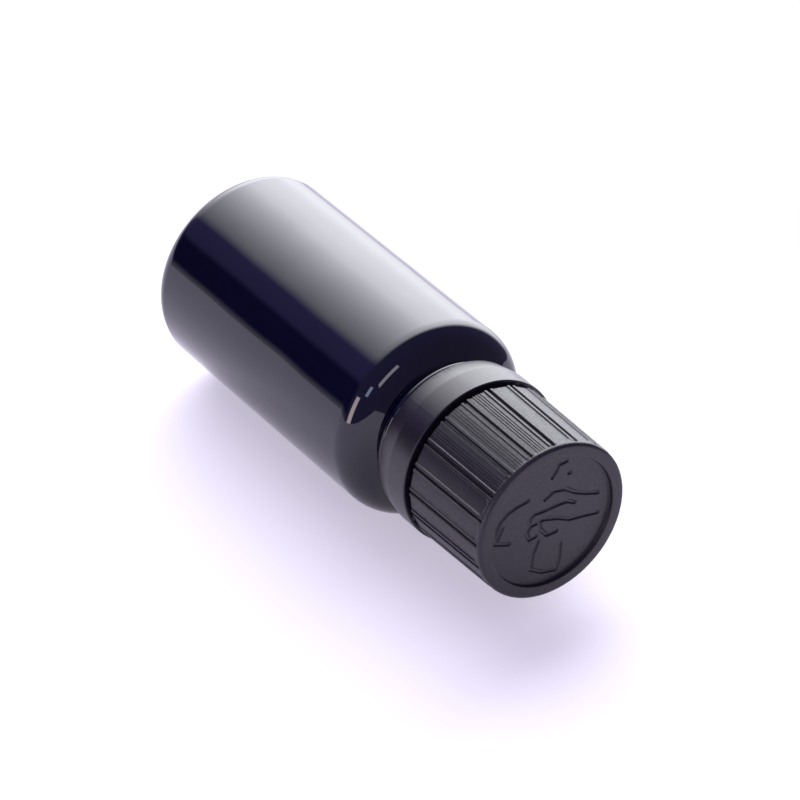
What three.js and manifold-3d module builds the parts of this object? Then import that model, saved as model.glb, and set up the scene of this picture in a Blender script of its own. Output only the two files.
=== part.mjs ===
// A 10 ml round glass bottle for ink, with a dropper insert and a push-and-turn cap.
// Millimetres, +Z up. The bottle stands on z = 0 and its axis is the Z axis.
import * as THREE from "three";
import { mergeVertices } from "three/addons/utils/BufferGeometryUtils.js";
import Module from "manifold-3d";

const wasm = await Module();
wasm.setup();

// ---- Driving dimensions ----------------------------------------------------------------------

// Glass bottle
const BODY_RADIUS = 13.5;
const BODY_HEIGHT = 41.4; // of the straight wall, from the table to where the shoulder starts to turn
const GLASS_WALL = 1.8;
const GLASS_BASE = 2.6;
const HEEL_RADIUS = 4.3; // the round between wall and base
const PUNT_DEPTH = 1.0; // the hollow under the base
const PUNT_EDGE = 3.3; // width of the slope round the punt
const STAND_RING_WIDTH = 1.8; // the flat ring that the bottle stands on
const SHOULDER_RADIUS = 5.5;
const SHOULDER_TURN = 60; // degrees that the shoulder turns in before it meets the neck
const SHOULDER_THICKENING = 1.4; // how far the inner shoulder lies below the outer one
const NECK_ROOT_HEIGHT = 0.12; // the groove between shoulder and support ring
const NECK_ROOT_INSET = 0.75; // how deep that groove is
const SUPPORT_RING_INSET = 0.6; // how far the ring lies inside the tamper band's foot
const SUPPORT_RING_HEIGHT = 1.0;
const COLLAR_THICKENING = 0.8; // of the neck between the support ring and the locking bead
const COLLAR_HEIGHT = 4.2;
const LOCK_BEAD_DEPTH = 0.8; // how far the bead stands out from the collar
const LOCK_BEAD_HEIGHT = 1.1;
const LOCK_BEAD_LEAD = 0.5; // height of the slope above it, over which the band snaps down
const NECK_RADIUS = 8.1;
const NECK_HEIGHT = 15.0; // from the top of the support ring to the lip
const NECK_WALL = 1.8;

// Screw thread, one start, right-hand
const THREAD_PITCH = 3.0;
const THREAD_DEPTH = 0.8;
const THREAD_ROOT_WIDTH = 1.5;
const THREAD_CREST_WIDTH = 0.7;
const GLASS_THREAD_TURNS = 1.5;
const THREAD_LIP_DROP = 1.5; // from the lip to the middle of the glass thread's upper end
const CAP_THREAD_RISE = 2.15; // from the inner cap's foot to the middle of its thread's lower end
const CAP_THREAD_DROP = 2.15; // and from the middle of its upper end to the liner
const THREAD_RUN_OUT = 1 / 12; // of a turn, at each end
const THREAD_END_HEIGHT = 0.15; // of its full height, where the ridge ends

// Dropper insert
const INSERT_FLANGE_THICKNESS = 0.8;
const INSERT_FLANGE_OVERHANG = 1.9;
const INSERT_PLUG_LENGTH = 7.8;
const INSERT_WALL = 0.8;
const INSERT_LEAD = 1.2; // the tapered end that starts the plug in the neck
const TUBE_RECESS = 0.5; // how far the tubes end above the plug's foot
const INSERT_FLOOR_DROP = 5.3; // from the flange's top to the floor that carries the spout
const SPOUT_RADIUS = 1.7;
const SPOUT_BORE_RADIUS = 0.6;
const AIR_TUBE_RADIUS = 0.9;
const AIR_BORE_RADIUS = 0.4;
const AIR_TUBE_INSET = 1.8; // from the plug's inner wall to the tube's middle
const AIR_TUBE_STAND = 0.6; // how far it stands above the floor

// Sealing liner
const LINER_THICKNESS = 0.8;

// Inner cap
const INNER_CAP_WALL = 0.5;
const INNER_CAP_PLATE = 1.0;
const LUG_COUNT = 8;
const LUG_HEIGHT = 0.6;
const LUG_ANGLE = 14; // degrees
const LUG_LENGTH = 3.05; // outwards from the axis
const LUG_EDGE = 1.2; // from the inner cap's wall to the lugs

// Outer cap
const OUTER_CAP_WALL = 0.85; // at the top of the skirt
const OUTER_CAP_FLARE = 0.25; // how much wider the skirt is at its foot
const OUTER_CAP_PLATE = 1.1;
const RIM_ROUND = 0.5;
const RIM_WIDTH = 1.8; // the plain rim round the sunk disc
const DISC_DEPTH = 0.5; // how far the disc lies below the rim
const SNAP_RING_HEIGHT = 0.6;
const SNAP_RING_GRIP = 0.25; // how far the snap ring reaches under the inner cap
const GRIP_SECTORS = 20;
const GRIP_GROOVE_DEPTH = 0.28;
const GRIP_GROOVE_ANGLE = 2.4; // degrees, at the skirt's face
const GRIP_GROOVE_FLOOR = 0.5; // of that width
const GRIP_TOP_MARGIN = 1.0; // plain skirt above the grooves
const PUSH_TRAVEL = 0.6; // how far the outer cap is pushed down to engage the lugs

// Tamper band
const BAND_WALL = 1.1;
const BAND_FOOT_INSET = 0.5; // how much narrower its foot is
const BAND_FOOT_TAPER = 2.7; // height over which it widens
const BAND_RISE = 1.2; // how far it stands above the locking bead
const CLAW_COUNT = 8;
const CLAW_HEIGHT = 1.1;
const CLAW_LEAD = 0.35; // height of each claw's sloped faces
const CLAW_SLOT_ANGLE = 12; // degrees
const STUB_COUNT = 10;
const STUB_HEIGHT = 0.2;
const STUB_SIZE = 0.5;
const STUB_INSET = 0.15; // from the band's bore

// Clearances
const SEAT_GAP = 0.3; // between pieces that rest on each other
const RUNNING_GAP = 0.25; // between pieces that turn or slide in each other
const SEAM_GAP = 0.15; // between the band's stubs and the outer cap's foot, with the cap pushed
const BEAD_GAP = 0.55; // between the locking bead and the band's bore
const LUG_GAP = 0.35; // between the two rings of lugs before the cap is pushed
const OVERLAP = 0.3; // how deep an added feature is rooted in its wall
const CUT_PAST = 1; // how far a cut runs past the face that it opens

// Facets
const ROUND_SEGMENTS = 32;
const SMALL_SEGMENTS = 16;
const LARGE_ROUND = 2; // mm; a round of this radius or more gets the fine step
const FINE_STEP = 15; // degrees of turn for each facet of a large round
const EDGE_STEP = 45; // and of a small one

// ---- Heights and radii that follow -----------------------------------------------------------

const rad = THREE.MathUtils.degToRad;
const collarRadius = NECK_RADIUS + COLLAR_THICKENING;
const lockBeadRadius = collarRadius + LOCK_BEAD_DEPTH;
const bandBore = lockBeadRadius + BEAD_GAP;
const bandOuterRadius = bandBore + BAND_WALL;
const bandFootRadius = bandOuterRadius - BAND_FOOT_INSET;
const supportRingRadius = bandFootRadius - SUPPORT_RING_INSET;
const neckRootRadius = supportRingRadius - NECK_ROOT_INSET;

const shoulderTurn = rad(SHOULDER_TURN);
const shoulderTangent = SHOULDER_RADIUS * Math.tan(shoulderTurn / 2);
const shoulderCorner = BODY_HEIGHT + shoulderTangent;
const neckRootZ = shoulderCorner + (BODY_RADIUS - neckRootRadius) / Math.tan(shoulderTurn);
const supportRingZ = neckRootZ + NECK_ROOT_HEIGHT;
const supportRingTop = supportRingZ + SUPPORT_RING_HEIGHT;
const lockBeadZ = supportRingTop + COLLAR_HEIGHT;
const glassTop = supportRingTop + NECK_HEIGHT;
const boreRadius = NECK_RADIUS - NECK_WALL;
const insideRadius = BODY_RADIUS - GLASS_WALL;
const threadCrestRadius = NECK_RADIUS + THREAD_DEPTH;
const threadTopZ = glassTop - THREAD_LIP_DROP;
const glassThreadZ = threadTopZ - GLASS_THREAD_TURNS * THREAD_PITCH;

const insertFlangeZ = glassTop + SEAT_GAP;
const insertTop = insertFlangeZ + INSERT_FLANGE_THICKNESS;
const insertPlugRadius = boreRadius - SEAT_GAP;
const insertFoot = insertFlangeZ - INSERT_PLUG_LENGTH;

const linerZ = insertTop + SEAT_GAP;
const linerTop = linerZ + LINER_THICKNESS;
const innerPlateZ = linerTop + SEAT_GAP;
const innerCapTop = innerPlateZ + INNER_CAP_PLATE;
const innerCapBore = threadCrestRadius + RUNNING_GAP;
const innerCapRadius = innerCapBore + INNER_CAP_WALL;
const linerRadius = innerCapBore - SEAT_GAP;

const bandFoot = supportRingTop + SEAT_GAP;
const clawTop = lockBeadZ - SEAT_GAP;
const clawRadius = collarRadius + SEAT_GAP;
const bandTop = lockBeadZ + LOCK_BEAD_HEIGHT + BAND_RISE;

const outerCapFoot = bandTop + STUB_HEIGHT + PUSH_TRAVEL + SEAM_GAP;
const outerCapBore = innerCapRadius + RUNNING_GAP;
const outerCapTopRadius = outerCapBore + OUTER_CAP_WALL;
const outerCapFootRadius = outerCapTopRadius + OUTER_CAP_FLARE;
const outerPlateZ = innerCapTop + 2 * LUG_HEIGHT + LUG_GAP;
const discZ = outerPlateZ + OUTER_CAP_PLATE;
const outerCapTop = discZ + DISC_DEPTH;
const snapRingTop = outerCapFoot + SNAP_RING_HEIGHT;
const innerCapFoot = snapRingTop + SEAT_GAP;
const lugOuterRadius = innerCapRadius - LUG_EDGE;
const lugInnerRadius = lugOuterRadius - LUG_LENGTH;

// ---- Shaping helpers -------------------------------------------------------------------------

// A closed outline from corners [radius, height, round], each corner rounded by an arc.
function outline(corners) {
  const points = corners.map(([r, z]) => new THREE.Vector2(r, z));
  const out = [];
  corners.forEach(([r, z, round = 0], i) => {
    const here = points[i];
    const before = points[(i + points.length - 1) % points.length].clone().sub(here);
    const after = points[(i + 1) % points.length].clone().sub(here);
    const toBefore = before.clone().normalize();
    const toAfter = after.clone().normalize();
    const corner = Math.acos(THREE.MathUtils.clamp(toBefore.dot(toAfter), -1, 1));
    const turn = Math.PI - corner;
    const most = 0.49 * Math.min(before.length(), after.length());
    const tangent = Math.min(round * Math.tan(turn / 2), most);
    if (tangent < 1e-3) {
      out.push(here);
      return;
    }
    const radius = tangent / Math.tan(turn / 2);
    const start = here.clone().addScaledVector(toBefore, tangent);
    const middle = toBefore.clone().add(toAfter).normalize();
    const centre = here.clone().addScaledVector(middle, radius / Math.cos(turn / 2));
    const way = Math.sign(-toBefore.x * toAfter.y + toBefore.y * toAfter.x);
    const step = radius >= LARGE_ROUND ? FINE_STEP : EDGE_STEP;
    const steps = Math.ceil(THREE.MathUtils.radToDeg(turn) / step - 0.01);
    for (let k = 0; k <= steps; k++) {
      out.push(start.clone().rotateAround(centre, (way * turn * k) / steps));
    }
  });
  return out;
}

// A ring or disc: the outline turned about the Z axis.
function turned(corners, segments = ROUND_SEGMENTS) {
  const loop = outline(corners);
  if (THREE.ShapeUtils.area(loop) < 0) loop.reverse();
  const onAxis = loop.findIndex((p, i) => p.x === 0 && loop.at(i - 1).x === 0);
  const path = onAxis < 0 ? [...loop, loop[0]] : [...loop.slice(onAxis), ...loop.slice(0, onAxis)];
  return solid(new THREE.LatheGeometry(path, segments).rotateX(Math.PI / 2));
}

// A closed three.js geometry as a manifold-3d solid.
function solid(geometry) {
  const bare = new THREE.BufferGeometry();
  bare.setAttribute("position", geometry.getAttribute("position"));
  bare.setIndex(geometry.index);
  const merged = mergeVertices(bare, 1e-4);
  const index = merged.index.array;
  const faces = [];
  for (let i = 0; i < index.length; i += 3) {
    const [a, b, c] = index.subarray(i, i + 3);
    if (a !== b && b !== c && c !== a) faces.push(a, b, c);
  }
  const vertProperties = merged.attributes.position.array;
  const build = (triVerts) => new wasm.Manifold(new wasm.Mesh({ numProp: 3, vertProperties, triVerts }));
  const made = build(new Uint32Array(faces));
  return made.volume() > 0 ? made : build(new Uint32Array(faces.reverse())); // faces out either way
}

// A flat shape pushed up from height z.
function raised(shape, z, height, segments = SMALL_SEGMENTS) {
  const options = { depth: height, bevelEnabled: false, curveSegments: segments };
  return solid(new THREE.ExtrudeGeometry(shape, options).translate(0, 0, z));
}

// A block of a ring, centred on an angle, both in degrees.
function ringBlock(innerRadius, outerRadius, centre, width, z, height) {
  const from = rad(centre - width / 2);
  const to = rad(centre + width / 2);
  const shape = new THREE.Shape();
  shape.absarc(0, 0, outerRadius, from, to, false);
  shape.absarc(0, 0, innerRadius, to, from, true);
  return raised(shape, z, height, 3);
}

// A helical ridge whose ends run out into the wall. A negative depth points to the axis.
function threadRidge(wallRadius, depth, z, turns, startAngle) {
  const sunk = -Math.sign(depth) * OVERLAP;
  const slope = (THREAD_ROOT_WIDTH - THREAD_CREST_WIDTH) / 2 / Math.abs(depth);
  const root = THREAD_ROOT_WIDTH / 2 + slope * OVERLAP;
  const crest = THREAD_CREST_WIDTH / 2;
  const section = new THREE.Shape();
  section.moveTo(sunk, -root);
  section.lineTo(depth, -crest);
  section.lineTo(depth, crest);
  section.lineTo(sunk, root);
  section.closePath();
  const steps = Math.round(turns * ROUND_SEGMENTS);
  const ridge = new THREE.ExtrudeGeometry(section, { depth: 1, steps, bevelEnabled: false });
  const place = ridge.getAttribute("position");
  for (let i = 0; i < place.count; i++) {
    const turn = place.getZ(i) * turns;
    const full = Math.min(1, turn / THREAD_RUN_OUT, (turns - turn) / THREAD_RUN_OUT);
    const out = place.getX(i);
    const height = sunk + (out - sunk) * Math.max(full, THREAD_END_HEIGHT);
    const angle = startAngle + turn * 2 * Math.PI;
    place.setXYZ(
      i,
      (wallRadius + height) * Math.cos(angle),
      (wallRadius + height) * Math.sin(angle),
      z + place.getY(i) + turn * THREAD_PITCH,
    );
  }
  return solid(ridge);
}

// Copies of a feature, evenly round the axis.
function around(count, make) {
  const copies = Array.from({ length: count }, (_, i) => make((360 / count) * i));
  return wasm.Manifold.union(copies);
}

function mesh(name, shape, colour, roughness, metalness = 0) {
  const { vertProperties, triVerts, numProp } = shape.getMesh();
  if (numProp !== 3) throw new Error(name + " holds more than positions");
  const geometry = new THREE.BufferGeometry();
  geometry.setAttribute("position", new THREE.BufferAttribute(vertProperties, 3));
  geometry.setIndex(new THREE.BufferAttribute(triVerts, 1));
  geometry.computeVertexNormals();
  const material = new THREE.MeshStandardMaterial({ color: colour, roughness, metalness });
  const made = new THREE.Mesh(geometry, material);
  made.name = name;
  return made;
}

// ---- The pieces ------------------------------------------------------------------------------

// Blown glass: thick base with a shallow punt, round shoulder, support ring, locking bead, thread.
function glassBottle() {
  const standOuter = BODY_RADIUS - HEEL_RADIUS;
  const standInner = standOuter - STAND_RING_WIDTH;
  const puntRadius = standInner - PUNT_EDGE;
  const outside = [
    [0, PUNT_DEPTH],
    [puntRadius, PUNT_DEPTH, 3],
    [standInner, 0, 0.8],
    [BODY_RADIUS, 0, HEEL_RADIUS],
    [BODY_RADIUS, shoulderCorner, SHOULDER_RADIUS],
    [neckRootRadius, neckRootZ, 0.2],
    [neckRootRadius, supportRingZ, 0.1],
    [supportRingRadius, supportRingZ, 0.4],
    [supportRingRadius, supportRingTop, 0.4],
    [collarRadius, supportRingTop, 0.3],
    [collarRadius, lockBeadZ, 0.2],
    [lockBeadRadius, lockBeadZ, 0.2],
    [lockBeadRadius, lockBeadZ + LOCK_BEAD_HEIGHT, 0.7],
    [NECK_RADIUS, lockBeadZ + LOCK_BEAD_HEIGHT + LOCK_BEAD_LEAD, 0.5],
    [NECK_RADIUS, glassTop, 0.6],
  ];
  const inside = [
    [boreRadius, glassTop, 0.5],
    [boreRadius, supportRingZ, 2],
    [insideRadius, shoulderCorner - SHOULDER_THICKENING, 4],
    [insideRadius, GLASS_BASE, HEEL_RADIUS - GLASS_WALL / 2],
    [standInner, GLASS_BASE, 2],
    [puntRadius, GLASS_BASE + PUNT_DEPTH, 2],
    [0, GLASS_BASE + PUNT_DEPTH],
  ];
  const wall = turned([...outside, ...inside]);
  const thread = threadRidge(NECK_RADIUS, THREAD_DEPTH, glassThreadZ, GLASS_THREAD_TURNS, 0);
  return wall.add(thread);
}

// The plug pressed into the neck, with a drip spout and an air tube.
function dropperInsert() {
  const flangeRadius = insertPlugRadius + INSERT_FLANGE_OVERHANG;
  const cupRadius = insertPlugRadius - INSERT_WALL;
  const floorTop = insertTop - INSERT_FLOOR_DROP;
  const floorFoot = floorTop - INSERT_WALL;
  const dripTubeFoot = insertFoot + TUBE_RECESS;
  const body = turned(
    [
      [SPOUT_BORE_RADIUS, dripTubeFoot],
      [SPOUT_RADIUS - 0.3, dripTubeFoot, 0.2],
      [SPOUT_RADIUS, floorFoot, 0.3],
      [cupRadius, floorFoot, 0.3],
      [cupRadius, insertFoot, 0.2],
      [insertPlugRadius - INSERT_LEAD / 4, insertFoot, 0.2],
      [insertPlugRadius, insertFoot + INSERT_LEAD, 0.4],
      [insertPlugRadius, insertFlangeZ, 0.2],
      [flangeRadius, insertFlangeZ, 0.25],
      [flangeRadius, insertTop, 0.25],
      [cupRadius, insertTop, 0.3],
      [cupRadius, floorTop, 0.4],
      [SPOUT_RADIUS, floorTop, 0.3],
      [SPOUT_RADIUS, insertTop, 0.3],
      [SPOUT_BORE_RADIUS, insertTop, 0.15],
    ],
    ROUND_SEGMENTS / 2,
  );
  const tubeOffset = cupRadius - AIR_TUBE_INSET;
  const tubeShape = new THREE.Shape().absarc(tubeOffset, 0, AIR_TUBE_RADIUS, 0, 2 * Math.PI, false);
  const boreShape = new THREE.Shape().absarc(tubeOffset, 0, AIR_BORE_RADIUS, 0, 2 * Math.PI, false);
  const tubeLength = floorTop - dripTubeFoot;
  const tube = raised(tubeShape, dripTubeFoot, tubeLength + AIR_TUBE_STAND, 6);
  const bore = raised(boreShape, dripTubeFoot - CUT_PAST, tubeLength + AIR_TUBE_STAND + 2 * CUT_PAST, 5);
  return body.add(tube).subtract(bore);
}

// A foamed disc in the roof of the inner cap, pressed on the insert's rim.
function sealingLiner() {
  return turned([
    [0, linerZ],
    [linerRadius, linerZ, 0.15],
    [linerRadius, linerTop, 0.15],
    [0, linerTop],
  ]);
}

// The threaded cap that seals the bottle, with a ring of driving lugs on its roof.
function innerCap() {
  const shell = turned([
    [0, innerPlateZ],
    [innerCapBore, innerPlateZ, 0.2],
    [innerCapBore, innerCapFoot, 0.1],
    [innerCapRadius, innerCapFoot, 0.15],
    [innerCapRadius, innerCapTop, 0.5],
    [0, innerCapTop],
  ]);
  const threadZ = innerCapFoot + CAP_THREAD_RISE;
  const threadTurns = (linerZ - CAP_THREAD_DROP - threadZ) / THREAD_PITCH;
  const midway = (threadZ - glassThreadZ) / THREAD_PITCH - 0.5; // turns on, so it lies between the glass threads
  const threadStart = midway * 2 * Math.PI;
  const threadDepth = NECK_RADIUS + SEAT_GAP - innerCapBore; // negative: it points to the axis
  const thread = threadRidge(innerCapBore, threadDepth, threadZ, threadTurns, threadStart);
  const lugFoot = innerCapTop - OVERLAP;
  const lugs = around(LUG_COUNT, (angle) =>
    ringBlock(lugInnerRadius, lugOuterRadius, angle, LUG_ANGLE, lugFoot, LUG_HEIGHT + OVERLAP),
  );
  return shell.add(thread).add(lugs);
}

// The outer shell that the hand turns: ribbed skirt, sunk disc in the top, lugs under the roof.
function outerCap() {
  const discRadius = outerCapTopRadius - RIM_WIDTH;
  const snapRadius = innerCapRadius - SNAP_RING_GRIP;
  const shell = turned([
    [0, outerPlateZ],
    [outerCapBore, outerPlateZ, 0.3],
    [outerCapBore, snapRingTop, 0.1],
    [snapRadius, snapRingTop - 0.15, 0.1],
    [snapRadius, outerCapFoot, 0.2],
    [outerCapFootRadius, outerCapFoot, 0.15],
    [outerCapTopRadius, outerCapTop, RIM_ROUND],
    [discRadius, outerCapTop, 0.15],
    [discRadius, discZ, 0.1],
    [0, discZ],
  ]);
  const grooveHeight = outerCapTop - GRIP_TOP_MARGIN - outerCapFoot;
  const skirtHeight = outerCapTop - outerCapFoot;
  const lean = Math.atan(OUTER_CAP_FLARE / skirtHeight);
  const grooves = around(GRIP_SECTORS, (angle) => {
    const floor = outerCapFootRadius - GRIP_GROOVE_DEPTH;
    const half = floor * Math.tan(rad(GRIP_GROOVE_ANGLE / 2));
    const section = new THREE.Shape();
    section.moveTo(0, -half * GRIP_GROOVE_FLOOR);
    section.lineTo(GRIP_GROOVE_DEPTH, -half);
    section.lineTo(CUT_PAST, -half);
    section.lineTo(CUT_PAST, half);
    section.lineTo(GRIP_GROOVE_DEPTH, half);
    section.lineTo(0, half * GRIP_GROOVE_FLOOR);
    section.closePath();
    const options = { depth: grooveHeight + CUT_PAST, bevelEnabled: false };
    const cutter = new THREE.ExtrudeGeometry(section, options)
      .translate(0, 0, -CUT_PAST)
      .rotateY(-lean)
      .translate(floor, 0, outerCapFoot)
      .rotateZ(rad(angle + 180 / GRIP_SECTORS));
    return solid(cutter);
  });
  const lugs = around(LUG_COUNT, (angle) =>
    ringBlock(
      lugInnerRadius,
      lugOuterRadius,
      angle + 180 / LUG_COUNT,
      LUG_ANGLE,
      outerPlateZ - LUG_HEIGHT,
      LUG_HEIGHT + OVERLAP,
    ),
  );
  return shell.subtract(grooves).add(lugs);
}

// The torn-off ring that stays on the neck, held under the locking bead by its claws.
function tamperBand() {
  const clawFoot = clawTop - CLAW_HEIGHT;
  const ring = turned([
    [bandBore, bandFoot, 0.1],
    [bandFootRadius, bandFoot, 0.3],
    [bandOuterRadius, bandFoot + BAND_FOOT_TAPER, 3],
    [bandOuterRadius, bandTop, 0.25],
    [bandBore, bandTop, 0.1],
    [bandBore, clawTop + CLAW_LEAD, 0.1],
    [clawRadius, clawTop, 0.1],
    [clawRadius, clawFoot + CLAW_LEAD, 0.1],
    [bandBore, clawFoot, 0.1],
  ]);
  const slots = around(CLAW_COUNT, (angle) =>
    ringBlock(
      clawRadius - CUT_PAST,
      bandBore,
      angle,
      CLAW_SLOT_ANGLE,
      clawFoot - CUT_PAST,
      CLAW_HEIGHT + CLAW_LEAD + 2 * CUT_PAST,
    ),
  );
  const stubAngle = THREE.MathUtils.radToDeg(STUB_SIZE / bandBore);
  const stubInner = bandBore + STUB_INSET;
  const stubs = around(STUB_COUNT, (angle) =>
    ringBlock(stubInner, stubInner + STUB_SIZE, angle, stubAngle, bandTop - OVERLAP, STUB_HEIGHT + OVERLAP),
  );
  return ring.subtract(slots).add(stubs);
}

// ---- The assembly ----------------------------------------------------------------------------

const bottle = new THREE.Group();
bottle.add(mesh("glass_bottle", glassBottle(), 0x0b0a18, 0.05));
bottle.add(mesh("dropper_insert", dropperInsert(), 0xe8e8e4, 0.45));

const cap = new THREE.Group();
cap.add(mesh("sealing_liner", sealingLiner(), 0xf0efea, 0.7));
cap.add(mesh("inner_cap", innerCap(), 0x2a272c, 0.5));
cap.add(mesh("outer_cap", outerCap(), 0x2e2a31, 0.55));

const inkBottle = new THREE.Group();
inkBottle.add(bottle, mesh("tamper_band", tamperBand(), 0x2e2a31, 0.5), cap);

export default inkBottle;
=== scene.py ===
# A 10 ml round ink bottle of violet glass, with a dropper insert and a ribbed push-and-turn cap.
# The bottle's axis is +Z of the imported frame. Shapes below are in millimetres and are scaled on the way out.
from math import ceil, cos, degrees, pi, radians, sin, tan

import bmesh
import bpy
import numpy as np
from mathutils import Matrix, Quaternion, Vector


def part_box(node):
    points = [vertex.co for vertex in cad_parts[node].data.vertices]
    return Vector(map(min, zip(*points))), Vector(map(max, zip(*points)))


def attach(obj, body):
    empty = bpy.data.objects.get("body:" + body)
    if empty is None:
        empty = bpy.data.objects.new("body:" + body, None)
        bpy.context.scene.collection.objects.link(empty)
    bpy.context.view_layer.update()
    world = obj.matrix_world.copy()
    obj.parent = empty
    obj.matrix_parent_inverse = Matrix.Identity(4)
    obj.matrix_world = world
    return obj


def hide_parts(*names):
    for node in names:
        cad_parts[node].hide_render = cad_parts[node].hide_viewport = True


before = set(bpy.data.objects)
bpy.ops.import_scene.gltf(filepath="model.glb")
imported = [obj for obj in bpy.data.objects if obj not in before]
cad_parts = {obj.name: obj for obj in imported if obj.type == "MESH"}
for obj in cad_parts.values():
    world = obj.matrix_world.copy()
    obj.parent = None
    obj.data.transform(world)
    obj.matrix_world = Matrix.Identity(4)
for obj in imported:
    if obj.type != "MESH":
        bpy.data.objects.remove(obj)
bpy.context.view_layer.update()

MM = 0.001


def heights(node):
    """The lowest and highest Z of a CAD node, in millimetres."""
    low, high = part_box(node)
    return low.z / MM, high.z / MM


def from_angles(azimuth, elevation=0.0):
    """The direction of a compass angle: azimuth 0 looks from -Y, and 90 from +X."""
    a = radians(azimuth)
    e = radians(elevation)
    return Vector((sin(a) * cos(e), -cos(a) * cos(e), sin(e)))


# ---- Sizes that the pieces share ----------------------------------------------------------------

BODY_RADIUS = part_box("glass_bottle")[1].x / MM
GLASS_TOP = heights("glass_bottle")[1]
INSERT_FOOT, INSERT_TOP = heights("dropper_insert")
LINER_FOOT, LINER_TOP = heights("sealing_liner")
INNER_FOOT, INNER_LUG_TOP = heights("inner_cap")
CAP_FOOT, CAP_TOP = heights("outer_cap")
BAND_FOOT, BAND_STUB_TOP = heights("tamper_band")

SHOULDER = 44.575  # where the shoulder's slope would meet the side
INSIDE_RADIUS = 11.7
NECK_HEIGHT = 15.0
NECK_RADIUS = 8.1
NECK_BORE = 6.3
NECK_ROOT_RADIUS = 9.5
NECK_ROOT_HEIGHT = 0.12
SUPPORT_RING_RADIUS = 10.25
SUPPORT_RING_HEIGHT = 1.0
COLLAR_RADIUS = 8.9
COLLAR_HEIGHT = 4.2
LOCK_BEAD_RADIUS = 9.7
THREAD_PITCH = 3.0
THREAD_ROOT = 1.5
THREAD_CREST = 0.7
GLASS_THREAD_TURNS = 1.5
GLASS_THREAD_DEPTH = 0.8
CAP_THREAD_TURNS = 1.25
CAP_THREAD_DEPTH = 0.75
LUG_COUNT = 8
LUG_WIDTH = 14.0  # degrees
LUG_INNER = 5.4
LUG_OUTER = 8.45
LUG_HEIGHT = 0.6
SECTORS = 20  # of the cap's grip, with a groove between each two
SECTOR = 360 / SECTORS
FIRST_GROOVE = SECTOR / 2


# ---- Turning outlines into meshes ---------------------------------------------------------------

ARC_STEP = 9.0  # degrees of turn for each facet of a rounded edge
SHARP = 1e-3  # a smaller round than this is left as a sharp corner
SAME_PLACE = 2e-7  # metres; points nearer than this are one point


def outline(corners):
    """The points of a closed outline from corners (radius, height, round). A sharp corner gives no round."""
    points = []
    count = len(corners)
    for i, corner in enumerate(corners):
        here = Vector(corner[:2])
        wanted = corner[2] if len(corner) > 2 else 0.0
        before = Vector(corners[i - 1][:2]) - here
        after = Vector(corners[(i + 1) % count][:2]) - here
        opening = before.angle(after)
        turn = pi - opening
        reach = min(wanted * tan(turn / 2), 0.49 * min(before.length, after.length))
        if reach < SHARP:
            points.append(here)
            continue
        radius = reach / tan(turn / 2)
        centre = here + (before.normalized() + after.normalized()).normalized() * radius / cos(turn / 2)
        start = here + before.normalized() * reach - centre
        way = 1 if before.x * after.y - before.y * after.x < 0 else -1
        steps = max(2, ceil(degrees(turn) / ARC_STEP))
        for k in range(steps + 1):
            angle = way * turn * k / steps
            points.append(centre + Vector((
                start.x * cos(angle) - start.y * sin(angle),
                start.x * sin(angle) + start.y * cos(angle),
            )))
    return points


def finer(points, step, inside):
    """The outline with extra points, no further apart than step, on each side that lies inside a region."""
    out = []
    for i, here in enumerate(points):
        ahead = points[(i + 1) % len(points)]
        out.append(here)
        if inside(here) and inside(ahead):
            parts = ceil((ahead - here).length / step)
            out.extend(here.lerp(ahead, k / parts) for k in range(1, parts))
    return out


def even_angles(count):
    """Equally spaced column angles, in degrees."""
    return np.arange(count) * 360 / count


def turned(name, points, angles, relief=None):
    """An outline turned about the axis, at the given angles. A relief moves what isn't round."""
    loop = list(points)
    on_axis = [i for i, p in enumerate(loop) if abs(p.x) < 1e-6]
    closed = not on_axis
    if not closed:
        start = next(i for i in on_axis if abs(loop[i - 1].x) < 1e-6)
        loop = loop[start:] + loop[:start]
    r = np.array([p.x for p in loop])[:, None] + np.zeros(len(angles))
    z = np.array([p.y for p in loop])[:, None] + np.zeros(len(angles))
    a = np.zeros((len(loop), 1)) + np.asarray(angles)
    if relief:
        r, z = relief(r, z, a)
    flat = np.radians(a)
    places = np.stack([r * np.cos(flat), r * np.sin(flat), z], -1).reshape(-1, 3) * MM
    rows, columns = r.shape
    i, j = np.meshgrid(np.arange(rows if closed else rows - 1), np.arange(columns), indexing="ij")
    ahead = (i + 1) % rows
    beside = (j + 1) % columns
    faces = np.stack(
        [i * columns + j, i * columns + beside, ahead * columns + beside, ahead * columns + j], -1
    ).reshape(-1, 4)
    mesh = bpy.data.meshes.new(name)
    mesh.from_pydata(places.tolist(), [], faces.tolist())
    work = bmesh.new()
    work.from_mesh(mesh)
    bmesh.ops.remove_doubles(work, verts=work.verts, dist=SAME_PLACE)
    bmesh.ops.recalc_face_normals(work, faces=work.faces)
    work.to_mesh(mesh)
    work.free()
    piece = bpy.data.objects.new(name, mesh)
    bpy.context.scene.collection.objects.link(piece)
    return piece


def finished(piece, material, body, node, crease=35.0):
    """Gives a piece smooth faces, with sharp edges beyond the crease angle, its finish and its place."""
    piece.data.shade_smooth()
    piece.data.set_sharp_from_angle(angle=radians(crease))
    even = piece.modifiers.new("even_shading", "WEIGHTED_NORMAL")
    even.keep_sharp = True
    piece.data.materials.clear()
    piece.data.materials.append(material)
    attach(piece, body)
    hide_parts(node)
    return piece


def off_centre(a, centre, step=360.0):
    """How far an angle is from the nearest of the evenly stepped centres, in degrees."""
    return np.abs((a - centre + step / 2) % step - step / 2)


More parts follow.
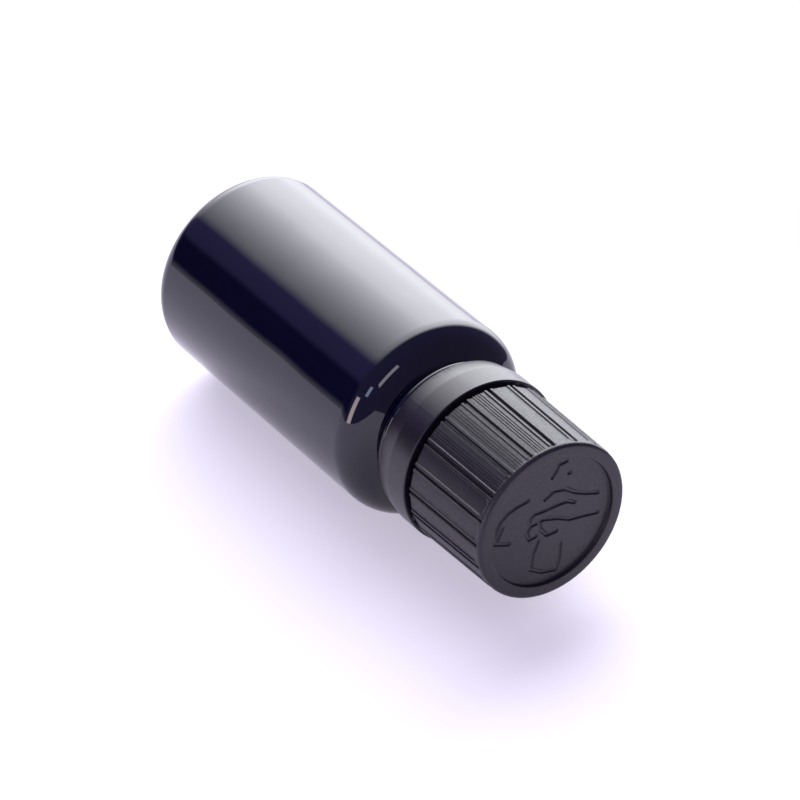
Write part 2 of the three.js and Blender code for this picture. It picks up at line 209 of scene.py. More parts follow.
def thread_height(z, a, foot, turns, depth):
    """How far a right-hand thread stands out at height z and angle a. It runs out at both ends."""
    share = np.zeros(np.broadcast(z, a).shape)
    for lap in range(ceil(turns) + 1):
        turn = a / 360 + lap
        away = np.abs(z - foot - turn * THREAD_PITCH)
        flank = np.clip((THREAD_ROOT / 2 - away) / (THREAD_ROOT / 2 - THREAD_CREST / 2), 0, 1)
        run_out = np.clip(np.minimum(turn, turns - turn) * 12, 0, 1)
        share = np.maximum(share, flank * run_out)
    return share * depth


# ---- Materials ----------------------------------------------------------------------------------


def linear(hex_colour):
    """An sRGB hex value as the linear colour that shaders take."""
    channels = [int(hex_colour[i:i + 2], 16) / 255 for i in (1, 3, 5)]
    curved = [c / 12.92 if c <= 0.04045 else ((c + 0.055) / 1.055) ** 2.4 for c in channels]
    return (*curved, 1.0)


def add(tree, kind, links=(), **settings):
    """Adds a node. Settings are its properties or its sockets' values. Links are (socket, source) pairs."""
    node = tree.nodes.new(kind)
    for key, value in settings.items():
        if hasattr(node, key):
            setattr(node, key, value)
        else:
            numbered = key[0] == "_" and key[1:].isdigit()
            name = int(key[1:]) if numbered else key.replace("_", " ")
            node.inputs[name].default_value = value
    for socket, source in links:
        tree.links.new(source, node.inputs[socket])
    return node


def new_material(name):
    """A material with nothing in it, its node tree and its output."""
    material = bpy.data.materials.new(name)
    material.use_nodes = True
    material.node_tree.nodes.clear()
    output = material.node_tree.nodes.new("ShaderNodeOutputMaterial")
    return material, material.node_tree, output


def shader(tree, output, links, **settings):
    """The Principled surface of a material."""
    surface = add(tree, "ShaderNodeBsdfPrincipled", links, **settings)
    tree.links.new(surface.outputs["BSDF"], output.inputs["Surface"])
    return surface


def in_millimetres(tree):
    """The piece's own coordinates scaled to millimetres, so pattern scales are read per millimetre."""
    place = add(tree, "ShaderNodeTexCoord")
    own = place.outputs["Object"]
    scaled = add(tree, "ShaderNodeVectorMath", [(0, own)], operation="SCALE", Scale=1 / MM)
    return scaled.outputs["Vector"]


def violet_glass():
    """Blown violet glass, so dark that it looks black. Gloss is all the eye gets: a fire-polished skin, with
    the slow waviness of blowing, about 12 mm from crest to crest, and a haze of fine handling dust."""
    material, tree, output = new_material("blown_violet_glass")
    place = in_millimetres(tree)
    wave = add(tree, "ShaderNodeTexNoise", [("Vector", place)], Scale=0.085, Detail=1.0, Roughness=0.4)
    dust = add(tree, "ShaderNodeTexNoise", [("Vector", place)], Scale=5.5, Detail=2.0, Roughness=0.7)
    haze = add(tree, "ShaderNodeMapRange", [("Value", dust.outputs["Fac"])], To_Min=0.035, To_Max=0.085)
    haze.inputs["From Min"].default_value = 0.45
    haze.inputs["From Max"].default_value = 0.8
    depth = add(tree, "ShaderNodeTexNoise", [("Vector", place)], Scale=0.05, Detail=2.0)
    tint = add(tree, "ShaderNodeMix", [("Factor", depth.outputs["Fac"])], data_type="RGBA")
    tint.inputs["A"].default_value = linear("#060419")
    tint.inputs["B"].default_value = linear("#0a0724")
    skin = add(tree, "ShaderNodeBump", [("Height", wave.outputs["Fac"])], Strength=0.35, Distance=0.0003)
    shader(
        tree, output,
        [("Base Color", tint.outputs["Result"]), ("Roughness", haze.outputs["Result"]),
         ("Normal", skin.outputs["Normal"])],
        IOR=1.52,
    )
    return material


def black_polypropylene(name, dark, light, smooth, rough, grain, height):
    """Moulded black polypropylene. The spark-eroded mould leaves a fine even grain that scatters the light,
    drawn here at about twice its real size so that it shows, and a faint cloudiness where the melt flowed."""
    material, tree, output = new_material(name)
    place = in_millimetres(tree)
    pits = add(tree, "ShaderNodeTexNoise", [("Vector", place)], Scale=grain, Detail=3.0, Roughness=0.65)
    flow = add(tree, "ShaderNodeTexNoise", [("Vector", place)], Scale=0.3, Detail=3.0, Roughness=0.5)
    colour = add(tree, "ShaderNodeMix", [("Factor", flow.outputs["Fac"])], data_type="RGBA")
    colour.inputs["A"].default_value = linear(dark)
    colour.inputs["B"].default_value = linear(light)
    gloss = add(tree, "ShaderNodeMapRange", [("Value", pits.outputs["Fac"])], To_Min=smooth, To_Max=rough)
    gloss.inputs["From Min"].default_value = 0.3
    gloss.inputs["From Max"].default_value = 0.7
    depth = height * MM
    texture = add(tree, "ShaderNodeBump", [("Height", pits.outputs["Fac"])], Strength=0.5, Distance=depth)
    shader(
        tree, output,
        [("Base Color", colour.outputs["Result"]), ("Roughness", gloss.outputs["Result"]),
         ("Normal", texture.outputs["Normal"])],
        IOR=1.49,
    )
    return material


def natural_polyethylene():
    """Moulded polyethylene with no pigment: milky and waxy, and its thin walls let a little light through."""
    material, tree, output = new_material("moulded_natural_polyethylene")
    place = in_millimetres(tree)
    cloud = add(tree, "ShaderNodeTexNoise", [("Vector", place)], Scale=0.5, Detail=3.0)
    colour = add(tree, "ShaderNodeMix", [("Factor", cloud.outputs["Fac"])], data_type="RGBA")
    colour.inputs["A"].default_value = linear("#dedcd3")
    colour.inputs["B"].default_value = linear("#ecebe5")
    wax = add(tree, "ShaderNodeTexNoise", [("Vector", place)], Scale=3.0, Detail=2.0)
    gloss = add(tree, "ShaderNodeMapRange", [("Value", wax.outputs["Fac"])], To_Min=0.34, To_Max=0.5)
    skin = add(tree, "ShaderNodeBump", [("Height", wax.outputs["Fac"])], Strength=0.3, Distance=0.00003)
    shader(
        tree, output,
        [("Base Color", colour.outputs["Result"]), ("Roughness", gloss.outputs["Result"]),
         ("Normal", skin.outputs["Normal"])],
        IOR=1.51, Subsurface_Weight=0.35, Subsurface_Radius=(0.0012, 0.0011, 0.0009), Subsurface_Scale=1.0,
    )
    return material


def white_foam():
    """Foamed polyethylene sheet, cut to a disc: matte, with closed bubbles about 0.25 mm across."""
    material, tree, output = new_material("foamed_polyethylene_sheet")
    place = in_millimetres(tree)
    bubbles = add(tree, "ShaderNodeTexVoronoi", [("Vector", place)], Scale=4.0)
    colour = add(tree, "ShaderNodeMix", [("Factor", bubbles.outputs["Distance"])], data_type="RGBA")
    colour.inputs["A"].default_value = linear("#f1efea")
    colour.inputs["B"].default_value = linear("#dcdad3")
    depth = bubbles.outputs["Distance"]
    cells = add(tree, "ShaderNodeBump", [("Height", depth)], Strength=0.6, Distance=0.00006)
    shader(
        tree, output,
        [("Base Color", colour.outputs["Result"]), ("Normal", cells.outputs["Normal"])],
        Roughness=0.78, IOR=1.5,
    )
    return material


# ---- The camera and the studio ------------------------------------------------------------------

VIEW_AZIMUTH = 86.7
VIEW_ELEVATION = 42.836
VIEW_ROLL = 129.864  # the bottle lies on its side, so the camera is turned about its own line of sight
VIEW_DISTANCE = 591.86
VIEW_LENS = 213.0
AIM = Vector((0.027, 0.4715, 37.595))
TABLE_REACH = 0.45
TABLE_BEHIND = 0.075  # it ends close behind the bottle, and a pale backdrop shows in the glass beyond it
TABLE_AZIMUTH = 47.55  # the side of the bottle that faces up from the table it lies on


def look_at_bottle():
    """The camera, a long lens close to the cap's end of the bottle."""
    back = from_angles(VIEW_AZIMUTH, VIEW_ELEVATION)
    lens = bpy.data.cameras.new("camera")
    lens.lens = VIEW_LENS
    lens.sensor_width = 36.0
    lens.clip_start = 0.01
    lens.clip_end = 20.0
    camera = bpy.data.objects.new("camera", lens)
    camera.location = (AIM + back * VIEW_DISTANCE) * MM
    camera.rotation_mode = "QUATERNION"
    roll = Quaternion((0, 0, 1), radians(VIEW_ROLL))
    camera.rotation_quaternion = (-back).to_track_quat("-Z", "Y") @ roll
    bpy.context.scene.collection.objects.link(camera)
    bpy.context.scene.camera = camera


UP = from_angles(TABLE_AZIMUTH)  # away from the table
AXIS = Vector((0, 0, 1))
ACROSS = AXIS.cross(UP)  # along the table, across the bottle


def table():
    """The pale table top that the bottle lies on. It has one side only, so it hides nothing from below."""
    middle = -UP * BODY_RADIUS * MM
    along = (-TABLE_REACH, TABLE_REACH)
    corners = [
        middle + AXIS * along[a] + ACROSS * (TABLE_REACH if b else -TABLE_BEHIND)
        for a, b in ((0, 0), (1, 0), (1, 1), (0, 1))
    ]
    mesh = bpy.data.meshes.new("table_top")
    mesh.from_pydata([tuple(c) for c in corners], [], [(0, 1, 2, 3)])
    if mesh.polygons[0].normal.dot(UP) < 0:
        mesh.flip_normals()
    top = bpy.data.objects.new("table_top", mesh)
    bpy.context.scene.collection.objects.link(top)
    material, tree, output = new_material("matt_white_board")
    rays = add(tree, "ShaderNodeLightPath")
    board = add(tree, "ShaderNodeBsdfDiffuse", Color=linear("#d3cfd8"))
    # Seen by the camera or in a gloss, the open board is white, and a shadow on it keeps a lavender tint.
    glow = add(tree, "ShaderNodeEmission", Color=linear("#e6dff0"), Strength=0.56)
    seen = add(tree, "ShaderNodeAddShader", [(0, board.outputs["BSDF"]), (1, glow.outputs["Emission"])])
    sight = add(
        tree, "ShaderNodeMath",
        [(0, rays.outputs["Is Camera Ray"]), (1, rays.outputs["Is Glossy Ray"])], operation="MAXIMUM",
    )
    either = add(
        tree, "ShaderNodeMath",
        [(0, sight.outputs["Value"]), (1, rays.outputs["Is Transmission Ray"])], operation="MAXIMUM",
    )
    front = add(
        tree, "ShaderNodeMixShader",
        [(0, either.outputs["Value"]), (1, board.outputs["BSDF"]), (2, seen.outputs["Shader"])],
    )
    clear = add(tree, "ShaderNodeBsdfTransparent")
    side = add(tree, "ShaderNodeNewGeometry")
    whole = add(
        tree, "ShaderNodeMixShader",
        [(0, side.outputs["Backfacing"]), (1, front.outputs["Shader"]), (2, clear.outputs["BSDF"])],
    )
    tree.links.new(whole.outputs["Shader"], output.inputs["Surface"])
    mesh.materials.append(material)


# The room round the bottle, as brightness by the angle round the bottle's axis, from the camera's side.
# One wide soft window stands behind the table, and the camera's side is dark.
DAYLIGHT = (0.96, 0.97, 1.03)
DUSK = (0.80, 0.72, 1.75)
ROOM = [
    (-180, 1.5, DAYLIGHT), (-150, 1.8, DAYLIGHT), (-128, 4.2, DAYLIGHT), (-112, 5.2, DAYLIGHT),
    (-96, 6.6, DAYLIGHT), (-80, 7.3, DAYLIGHT), (-64, 6.0, DAYLIGHT), (-48, 4.5, DAYLIGHT),
    (-32, 3.0, DAYLIGHT), (-16, 1.7, DAYLIGHT), (-6, 0.30, DUSK), (14, 0.24, DUSK), (20, 0.03, DUSK),
    (46, 0.03, DUSK), (56, 1.0, DAYLIGHT), (180, 1.5, DAYLIGHT),
]
BRIGHTEST = 8.0  # the ramp's colours are shares of this
DIM_ROOM = (0.022, 0.020, 0.034)  # below and above the window, as a share of the brightest
WINDOW_LOW = -0.95  # how far up the bottle's axis the window reaches, as the sine of the angle
WINDOW_HIGH = -0.30
WINDOW_BLUR = 0.12  # its soft edge
WINDOW_DISTANCE = 1.2  # metres from the neck to each small window
WINDOW_AIM = Vector((0, 0, 45))  # the shoulder, which the small windows face


def room():
    """White to the camera. On the object it is one wide soft window and a dim room."""
    world = bpy.data.worlds.new("studio")
    bpy.context.scene.world = world
    world.use_nodes = True
    tree = world.node_tree
    tree.nodes.clear()
    output = tree.nodes.new("ShaderNodeOutputWorld")
    way = add(tree, "ShaderNodeTexCoord").outputs["Generated"]
    to_camera = from_angles(VIEW_AZIMUTH)
    beside = AXIS.cross(to_camera)

    def along(axis):
        product = add(tree, "ShaderNodeVectorMath", [(0, way)], operation="DOT_PRODUCT", _1=tuple(axis))
        return product.outputs["Value"]

    round_axis = add(tree, "ShaderNodeMath", [(0, along(beside)), (1, along(to_camera))], operation="ARCTAN2")
    place = add(tree, "ShaderNodeMapRange", [("Value", round_axis.outputs["Value"])])
    place.inputs["From Min"].default_value = -pi
    place.inputs["From Max"].default_value = pi
    ramp = add(tree, "ShaderNodeValToRGB", [("Fac", place.outputs["Result"])])
    stops = ramp.color_ramp.elements
    for angle, level, tint in ROOM[:-2]:
        stops.new((angle + 180) / 360)  # a new ramp already has two stops
    for stop, (angle, level, tint) in zip(stops, ROOM):
        stop.position = (angle + 180) / 360
        stop.color = [level / BRIGHTEST * share for share in tint] + [1]
    height = along(AXIS)
    rise = add(tree, "ShaderNodeMapRange", [("Value", height)], interpolation_type="SMOOTHSTEP")
    rise.inputs["From Min"].default_value = WINDOW_LOW - WINDOW_BLUR
    rise.inputs["From Max"].default_value = WINDOW_LOW + WINDOW_BLUR
    fall = add(tree, "ShaderNodeMapRange", [("Value", height)], interpolation_type="SMOOTHSTEP")
    fall.inputs["From Min"].default_value = WINDOW_HIGH + WINDOW_BLUR
    fall.inputs["From Max"].default_value = WINDOW_HIGH - WINDOW_BLUR
    band = add(
        tree, "ShaderNodeMath",
        [(0, rise.outputs["Result"]), (1, fall.outputs["Result"])], operation="MULTIPLY",
    )
    dim = add(
        tree, "ShaderNodeMix",
        [("Factor", band.outputs["Value"]), ("B", ramp.outputs["Color"])], data_type="RGBA",
    )
    dim.inputs["A"].default_value = (*DIM_ROOM, 1)
    studio = add(tree, "ShaderNodeBackground", [("Color", dim.outputs["Result"])], Strength=BRIGHTEST)
    white = add(tree, "ShaderNodeBackground", Color=(1, 1, 1, 1), Strength=1.0)
    rays = add(tree, "ShaderNodeLightPath")
    mixed = add(
        tree, "ShaderNodeMixShader",
        [(0, rays.outputs["Is Camera Ray"]), (1, studio.outputs["Background"]),
         (2, white.outputs["Background"])],
    )
    tree.links.new(mixed.outputs["Shader"], output.inputs["Surface"])


def window(name, azimuth, elevation, size, brightness, colour):
    """A small window, (wide, high) in metres, that shows as a glint in the glass."""
    light = bpy.data.lights.new(name, "AREA")
    light.shape = "RECTANGLE"
    light.size, light.size_y = size
    light.energy = brightness * pi * size[0] * size[1]
    light.color = linear(colour)[:3]
    placed = bpy.data.objects.new(name, light)
    way = from_angles(azimuth, elevation)
    placed.location = WINDOW_AIM * MM + way * WINDOW_DISTANCE
    placed.rotation_mode = "QUATERNION"
    placed.rotation_quaternion = (-way).to_track_quat("-Z", "Y")
    bpy.context.scene.collection.objects.link(placed)


# ---- The pieces ---------------------------------------------------------------------------------


def glass_bottle(material):
    """The blown bottle: heel, punt, round shoulder, support ring, locking bead, screw thread and lip."""
    thread_foot = GLASS_TOP - 1.5 - GLASS_THREAD_TURNS * THREAD_PITCH
    ring_top = GLASS_TOP - NECK_HEIGHT
    ring_foot = ring_top - SUPPORT_RING_HEIGHT
    root_foot = ring_foot - NECK_ROOT_HEIGHT
    bead = ring_top + COLLAR_HEIGHT
    corners = [
        (0, 1.0), (4.1, 1.0, 3.0), (7.4, 0, 0.8), (BODY_RADIUS, 0, 4.3), (BODY_RADIUS, SHOULDER, 5.5),
        (NECK_ROOT_RADIUS, root_foot, 0.2), (NECK_ROOT_RADIUS, ring_foot, 0.1),
        (SUPPORT_RING_RADIUS, ring_foot, 0.48), (SUPPORT_RING_RADIUS, ring_top, 0.48),
        (COLLAR_RADIUS, ring_top, 0.3), (COLLAR_RADIUS, bead, 0.2), (LOCK_BEAD_RADIUS, bead, 0.25),
        (LOCK_BEAD_RADIUS, bead + 1.1, 0.7), (NECK_RADIUS, bead + 1.6, 0.5), (NECK_RADIUS, GLASS_TOP, 0.6),
        (NECK_BORE, GLASS_TOP, 0.5), (NECK_BORE, ring_foot, 2.0), (INSIDE_RADIUS, SHOULDER - 1.4, 4.0),
        (INSIDE_RADIUS, 2.6, 3.4), (7.4, 2.6, 2.0), (4.1, 3.6, 2.0), (0, 3.6),
    ]
    points = finer(outline(corners), 0.12, lambda p: abs(p.x - NECK_RADIUS) < 0.01)

    def relief(r, z, a):
        on_wall = (r > NECK_RADIUS - 0.4) & (r < NECK_RADIUS + 0.3) & (z > bead + 1.3)
        stand = thread_height(z, a, thread_foot, GLASS_THREAD_TURNS, GLASS_THREAD_DEPTH)
        return np.where(on_wall, np.maximum(r, NECK_RADIUS + stand - 0.001), r), z

    piece = turned("blown_glass_bottle", points, even_angles(192), relief)
    return finished(piece, material, "bottle", "glass_bottle", 40.0)


PLUG_RADIUS = 6.0
PLUG_BORE = 5.2
FLANGE_RADIUS = 7.9
FLANGE_HEIGHT = 0.8
SPOUT_RADIUS = 1.7
SPOUT_BORE = 0.6
SPOUT_HEIGHT = 5.3
PLUG_FLOOR = 0.8
AIR_TUBE_PLACE = 3.4  # off the bottle's axis
AIR_TUBE_RADIUS = 0.9
AIR_TUBE_BORE = 0.4


def dropper_insert(material):
    """The plug with its drip spout, and the air tube beside it."""
    flange = INSERT_TOP - FLANGE_HEIGHT
    floor = INSERT_TOP - SPOUT_HEIGHT
    under = floor - PLUG_FLOOR
    tube_foot = INSERT_FOOT + 0.5
    corners = [
        (SPOUT_BORE, tube_foot), (1.4, tube_foot, 0.2), (SPOUT_RADIUS, under, 0.3), (PLUG_BORE, under, 0.3),
        (PLUG_BORE, INSERT_FOOT, 0.2), (PLUG_RADIUS - 0.3, INSERT_FOOT, 0.2),
        (PLUG_RADIUS, INSERT_FOOT + 1.2, 0.4), (PLUG_RADIUS, flange, 0.2), (FLANGE_RADIUS, flange, 0.25),
        (FLANGE_RADIUS, INSERT_TOP, 0.25), (PLUG_BORE, INSERT_TOP, 0.3), (PLUG_BORE, floor, 0.4),
        (SPOUT_RADIUS, floor, 0.3), (SPOUT_RADIUS, INSERT_TOP, 0.3), (SPOUT_BORE, INSERT_TOP, 0.15),
    ]
    piece = turned("drip_insert", outline(corners), even_angles(96))
    tube = turned("air_tube", outline([
        (0, tube_foot), (AIR_TUBE_RADIUS, tube_foot, 0.15),
        (AIR_TUBE_RADIUS, floor + 0.6, 0.2), (0, floor + 0.6),
    ]), even_angles(32))
    bore = turned("air_bore", outline([
        (0, tube_foot - 1), (AIR_TUBE_BORE, tube_foot - 1), (AIR_TUBE_BORE, floor + 2), (0, floor + 2),
    ]), even_angles(24))
    for tool, way in ((tube, "UNION"), (bore, "DIFFERENCE")):
        tool.location.x = AIR_TUBE_PLACE * MM
        bpy.context.view_layer.update()
        cut = piece.modifiers.new(tool.name, "BOOLEAN")
        cut.operation = way
        cut.solver = "EXACT"
        cut.object = tool
        with bpy.context.temp_override(object=piece, active_object=piece):
            bpy.ops.object.modifier_apply(modifier=cut.name)
        bpy.data.objects.remove(tool)
    return finished(piece, material, "bottle", "dropper_insert")


def sealing_liner(material):
    """The foamed disc, with the shallow ring that the insert's rim has pressed into it."""
    corners = [
        (0, LINER_FOOT), (5.0, LINER_FOOT), (5.3, LINER_FOOT + 0.06, 0.1), (7.7, LINER_FOOT + 0.06, 0.1),
        (8.0, LINER_FOOT), (8.85, LINER_FOOT, 0.15), (8.85, LINER_TOP, 0.15), (0, LINER_TOP),
    ]
    piece = turned("foam_liner", outline(corners), even_angles(96))
    return finished(piece, material, "liner", "sealing_liner")


def lug_angles(first):
    """Column angles that follow the sides of the eight lugs."""
    step = 360 / LUG_COUNT
    half = LUG_WIDTH / 2
    across = [-half - 0.4, -half, -half + 0.6, -half / 2, 0, half / 2, half - 0.6, half, half + 0.4]
    between = list(np.linspace(half + 3, step - half - 3, 6))
    return np.array(sorted((first + step * k + x) % 360 for k in range(LUG_COUNT) for x in across + between))


def inner_cap(material):
    """The threaded cap that seals, with the ring of driving lugs on its roof."""
    roof = INNER_LUG_TOP - LUG_HEIGHT
    plate = roof - 1.0
    bore = 9.15
    outside = 9.65
    thread_foot = INNER_FOOT + 2.15
    corners = [
        (0, plate), (bore, plate, 0.2), (bore, INNER_FOOT, 0.1), (outside, INNER_FOOT, 0.15),
        (outside, roof, 0.5), (LUG_OUTER + 0.05, roof), (LUG_OUTER, roof), (LUG_OUTER - 0.12, roof),
        (LUG_INNER + 0.12, roof), (LUG_INNER, roof), (LUG_INNER - 0.05, roof), (1.2, roof), (0, roof),
    ]
    points = finer(outline(corners), 0.13, lambda p: abs(p.x - bore) < 0.01)

    def relief(r, z, a):
        on_wall = (np.abs(r - bore) < 0.02) & (z > INNER_FOOT + 0.2) & (z < plate - 0.3)
        stand = thread_height(z, a, thread_foot, CAP_THREAD_TURNS, CAP_THREAD_DEPTH)
        on_lug = (z > roof - 0.01) & (r < LUG_OUTER + 0.01) & (r > LUG_INNER - 0.01)
        off = off_centre(a, 0, 360 / LUG_COUNT)
        lift = np.clip((LUG_WIDTH / 2 + 0.05 - off) / 0.4, 0, 1) * LUG_HEIGHT
        edge = np.minimum(LUG_OUTER - r, r - LUG_INNER)
        lift = lift * np.clip(0.86 + edge * 1.2, 0, 1)
        return np.where(on_wall, r - stand, r), np.where(on_lug, z + lift, z)

    piece = turned("threaded_inner_cap", points, lug_angles(0), relief)
    return finished(piece, material, "inner_cap", "inner_cap")


# The cap's grip, sector by sector round the skirt: 1 has four fine ribs, and 0 is a plain sunk panel.
RIBBED = [0, 0, 0, 0, 0, 0, 0, 1, 1, 1] * 2
RIB_PITCH = 1.9  # degrees
RIB_CROWN = 0.3  # half widths of a fine rib in degrees, on its crown and at its foot
RIB_BASE = 0.62
RIBS = [SECTOR / 2 + RIB_PITCH * k for k in (-1.5, -0.5, 0.5, 1.5)]
GROOVE_DEPTH = 0.30
RIDGE_HEIGHT = 0.06
PANEL_DEPTH = 0.10
RIB_HEIGHT = 0.09
GRIP_START = 0.62  # plain skirt above the grip
GRIP_RUN_OUT = 0.22

# From the middle of a groove to the panel beside it: degrees, and how far the skirt stands out there.
GRIP_EDGES = [0.0, 0.6, 1.2, 1.5, 1.9, 2.9, 3.3, 3.6]
GRIP_HEIGHTS = [
    -GROOVE_DEPTH, -GROOVE_DEPTH, 0.0, RIDGE_HEIGHT, RIDGE_HEIGHT, RIDGE_HEIGHT, 0.0, -PANEL_DEPTH,
]

SKIRT_DROP = 0.25  # the skirt reaches this much lower than its CAD solid, to close the seam
DISC_RADIUS = 8.95
DISC_DEPTH = 0.5
CUT_DEPTH = 0.2
CUT_WIDTH = 0.5
CUT_SLOPE = 0.14  # across each side of a cut

# The push-and-turn mark, cut in the disc: lines in millimetres, across and along it. A bent arrow to turn by,
# an open hand from the other side, and a small bottle under its fingers.
MARK = [
    [(5.3, -0.4), (6.2, 0.9), (6.8, 2.3), (6.9, 3.7), (6.4, 5.0), (5.4, 6.1)],
    [(3.2, 5.2), (5.2, 6.2), (5.9, 4.1)],
    [(-3.9, -6.1), (-2.2, -5.2), (-0.4, -4.5), (1.2, -4.2), (2.6, -3.2), (3.0, -1.7)],
    [(-1.6, -3.5), (-0.4, -3.1), (0.6, -2.1), (1.7, -0.7), (2.8, 0.4), (3.0, 1.5), (2.1, 2.0)],
    [(-6.1, -4.1), (-4.5, -2.9), (-2.8, -1.5), (-1.0, -0.8), (0.9, 0.3), (2.1, 2.0)],
    [(1.4, 0.9), (0.3, 1.6), (-1.2, 1.7), (-2.2, 0.6)],
    [(2.1, 2.0), (1.8, 3.0), (0.8, 3.4), (0.2, 2.6)],
    [(-0.7, 2.9), (-1.4, 4.5), (-2.8, 6.3), (-4.8, 5.7), (-6.5, 4.5), (-5.7, 3.1), (-4.2, 1.6)],
    [(4.4, -4.4), (4.6, -5.4), (4.9, -6.1), (4.2, -7.0)],
    [(2.4, -6.1), (2.5, -6.0)],
]


def line_distance(x, y, start, end):
    """How far each point (x, y) is from the straight line between start and end."""
    dx = end[0] - start[0]
    dy = end[1] - start[1]
    share = np.clip(((x - start[0]) * dx + (y - start[1]) * dy) / (dx * dx + dy * dy), 0, 1)
    return np.hypot(x - start[0] - share * dx, y - start[1] - share * dy)


def mark_depth(r, a):
    """How deep the mark is cut at each place on the disc, with sloped sides."""
    x = r * np.cos(np.radians(a))
    y = r * np.sin(np.radians(a))
    nearest = np.full(r.shape, 99.0)
    for line in MARK:
        for start, end in zip(line, line[1:]):
            nearest = np.minimum(nearest, line_distance(x, y, start, end))
    return CUT_DEPTH * np.clip((CUT_WIDTH / 2 + 0.05 - nearest) / CUT_SLOPE, 0, 1)


def grip_angles():
    """Column angles that follow every edge of the grip."""
    groove = GRIP_EDGES + [4.2, 4.8]
    ribs = [rib + x for rib in RIBS for x in (-RIB_BASE, -RIB_CROWN, RIB_CROWN, RIB_BASE)]
    sector = sorted(groove + ribs + [SECTOR - g for g in groove[1:]])
    return np.array([FIRST_GROOVE + SECTOR * k + x for k in range(SECTORS) for x in sector])


def grip_relief(z, a):
    """How far the skirt stands out from its plain face at each place."""
    local = (a - FIRST_GROOVE) % SECTOR
    sector = ((a - FIRST_GROOVE) // SECTOR).astype(int) % SECTORS
    side = np.minimum(local, SECTOR - local)
    down = CAP_TOP - z
    shape = np.interp(side, GRIP_EDGES, GRIP_HEIGHTS)
    rib = np.zeros(a.shape)
    for centre in RIBS:
        rib = np.maximum(rib, np.interp(np.abs(local - centre), [RIB_CROWN, RIB_BASE], [1, 0]))
    ribbed = np.array(RIBBED)[sector] == 1
    inside = side >= GRIP_EDGES[-1] - 0.01
    shape = np.where(inside & ribbed, -PANEL_DEPTH + rib * RIB_HEIGHT, shape)
    corner = np.clip((6.2 - side) / 2.6, 0, 1)  # rounds the upper corners of a plain panel
    start = GRIP_START + np.where(inside & ~ribbed, 0.15 + 0.5 * (1 - np.sqrt(1 - corner**2)), 0)
    return shape * np.clip((down - start) / GRIP_RUN_OUT, 0, 1)


def outer_cap(material):
    """The shell that the hand turns: ribbed skirt, plain rim, and a sunk disc with the push-and-turn mark."""
    bore = 9.9
    roof = CAP_TOP - 1.6
    disc = CAP_TOP - DISC_DEPTH
    foot_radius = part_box("outer_cap")[1].x / MM
    top_radius = foot_radius - 0.25
    snap = CAP_FOOT + 0.6
    foot = CAP_FOOT - SKIRT_DROP
    corners = [
        (0, roof), (LUG_INNER - 0.05, roof), (LUG_INNER, roof), (LUG_INNER + 0.12, roof),
        (LUG_OUTER - 0.12, roof), (LUG_OUTER, roof), (LUG_OUTER + 0.05, roof),
        (bore, roof, 0.3), (bore, snap, 0.1), (9.4, snap - 0.15, 0.1), (9.4, foot, 0.2),
        (foot_radius, foot, 0.15), (top_radius, CAP_TOP, 0.5), (DISC_RADIUS + 0.12, CAP_TOP, 0.15),
        (DISC_RADIUS, disc, 0.08), (0, disc),
    ]
    points = outline(corners)
    edge = finer(points, 0.07, lambda p: p.x > 10.6 and p.y > CAP_TOP - 2.2)
    # Rows of points down the skirt: close together where the grip runs out, and far apart below.
    rows = (CAP_FOOT + 4, CAP_FOOT + 8, CAP_TOP - 2.2, *np.arange(CAP_TOP - 1.9, CAP_TOP - 0.7, 0.08))
    points = []
    for i, here in enumerate(edge):
        ahead = edge[(i + 1) % len(edge)]
        points.append(here)
        if here.x > 10.7 and ahead.x > 10.7 and ahead.y - here.y > 2:
            points.extend(here.lerp(ahead, (height - here.y) / (ahead.y - here.y)) for height in rows)
    points = finer(points, 0.1, lambda p: p.y > disc - 0.01 and p.y < disc + 0.01 and p.x < DISC_RADIUS)

    def relief(r, z, a):
        on_skirt = (r > top_radius - 0.05) & (z < CAP_TOP - 0.45)
        stand = np.where(z < foot + 0.02, 0, grip_relief(z, a))
        on_disc = (np.abs(z - disc) < 0.01) & (r < DISC_RADIUS)
        on_roof = (np.abs(z - roof) < 0.01) & (r < LUG_OUTER + 0.01) & (r > LUG_INNER - 0.01)
        off = off_centre(a, 180 / LUG_COUNT, 360 / LUG_COUNT)
        drop = np.clip((LUG_WIDTH / 2 + 0.3 - off) / 0.6, 0, 1) * LUG_HEIGHT
        z = np.where(on_disc, z - mark_depth(r, a), z)
        return np.where(on_skirt, r + stand, r), np.where(on_roof, z - drop, z)

    piece = turned("ribbed_outer_cap", points, grip_angles(), relief)
    return finished(piece, material, "outer_cap", "outer_cap", 28.0)


CLAWS = 8
STUBS = 10  # torn bridges
STUB_HEIGHT = 0.2  # in the CAD solid; the torn ends here are lower


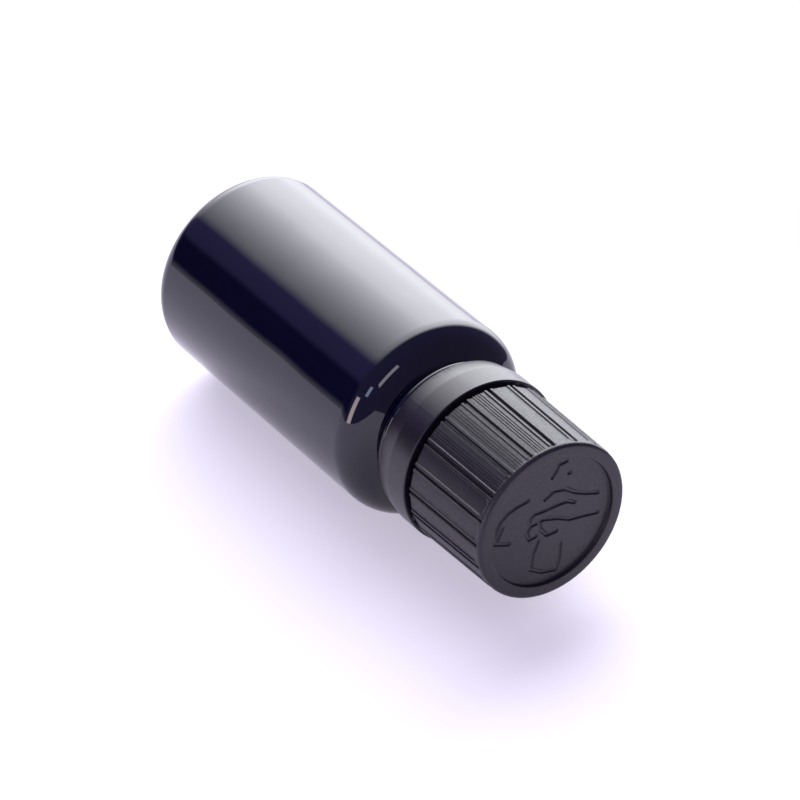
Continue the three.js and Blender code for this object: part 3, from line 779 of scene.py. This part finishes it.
def tamper_band(material):
    """The ring left on the neck, with the torn stubs on its top edge and the claws inside its foot."""
    bore = 10.25
    outside = 11.35
    top = BAND_STUB_TOP - STUB_HEIGHT
    claw_radius = 9.2
    claw_top = top - 2.6
    claw_foot = claw_top - 1.1
    stub_inner = bore + 0.15
    corners = [
        (bore, BAND_FOOT, 0.1), (outside - 0.5, BAND_FOOT, 0.3), (outside, BAND_FOOT + 2.7, 2.0),
        (outside, top, 0.22), (stub_inner + 0.58, top), (stub_inner + 0.5, top), (stub_inner, top),
        (stub_inner - 0.06, top), (bore, top, 0.05), (bore, claw_top + 0.35, 0.1),
        (claw_radius, claw_top, 0.1), (claw_radius, claw_foot + 0.35, 0.1), (bore, claw_foot, 0.1),
    ]
    claw_step = 360 / CLAWS
    stub_step = 360 / STUBS
    claws = [claw_step * k + x for k in range(CLAWS) for x in (-6.2, -6, 6, 6.2)]
    stubs = [stub_step * k + x for k in range(STUBS) for x in (-1.5, -1.2, 1.2, 1.5)]
    angles = np.array(sorted({round(x % 360, 3) for x in claws + stubs + list(even_angles(120))}))

    def relief(r, z, a):
        slot = off_centre(a, 0, claw_step) < 6.1
        r = np.where(slot & (r < bore - 0.001), bore, r)
        crown = (z > top - 0.001) & (r > stub_inner - 0.01) & (r < stub_inner + 0.51)
        stub = crown & (off_centre(a, 0, stub_step) < 1.25)
        torn = 0.05 + 0.03 * np.sin(a * 0.37 + r * 9)
        return r, np.where(stub, z + torn, z)

    piece = turned("torn_band", outline(corners), angles, relief)
    return finished(piece, material, "tamper_band", "tamper_band")


# ---- The scene ----------------------------------------------------------------------------------

look_at_bottle()
table()
room()
window("side_window", 128, 1, (0.62, 0.30), 6.0, "#ffeef2")
window("corner_window", 104, 24, (0.22, 0.22), 5.0, "#bcd8ff")
window("front_window", 78, 43, (0.50, 0.22), 4.0, "#f3ecf6")
bpy.context.scene.view_settings.view_transform = "Standard"

cap_plastic = black_polypropylene(
    "spark_eroded_black_polypropylene", "#140d1b", "#1a1221", 0.34, 0.5, 3.2, 0.08)
band_plastic = black_polypropylene(
    "satin_black_polypropylene", "#17121e", "#1c1723", 0.27, 0.36, 3.0, 0.006)
inner_plastic = black_polypropylene(
    "moulded_black_polypropylene", "#1f1d22", "#252329", 0.3, 0.42, 3.0, 0.008)

glass_bottle(violet_glass())
dropper_insert(natural_polyethylene())
sealing_liner(white_foam())
inner_cap(inner_plastic)
outer_cap(cap_plastic)
tamper_band(band_plastic)
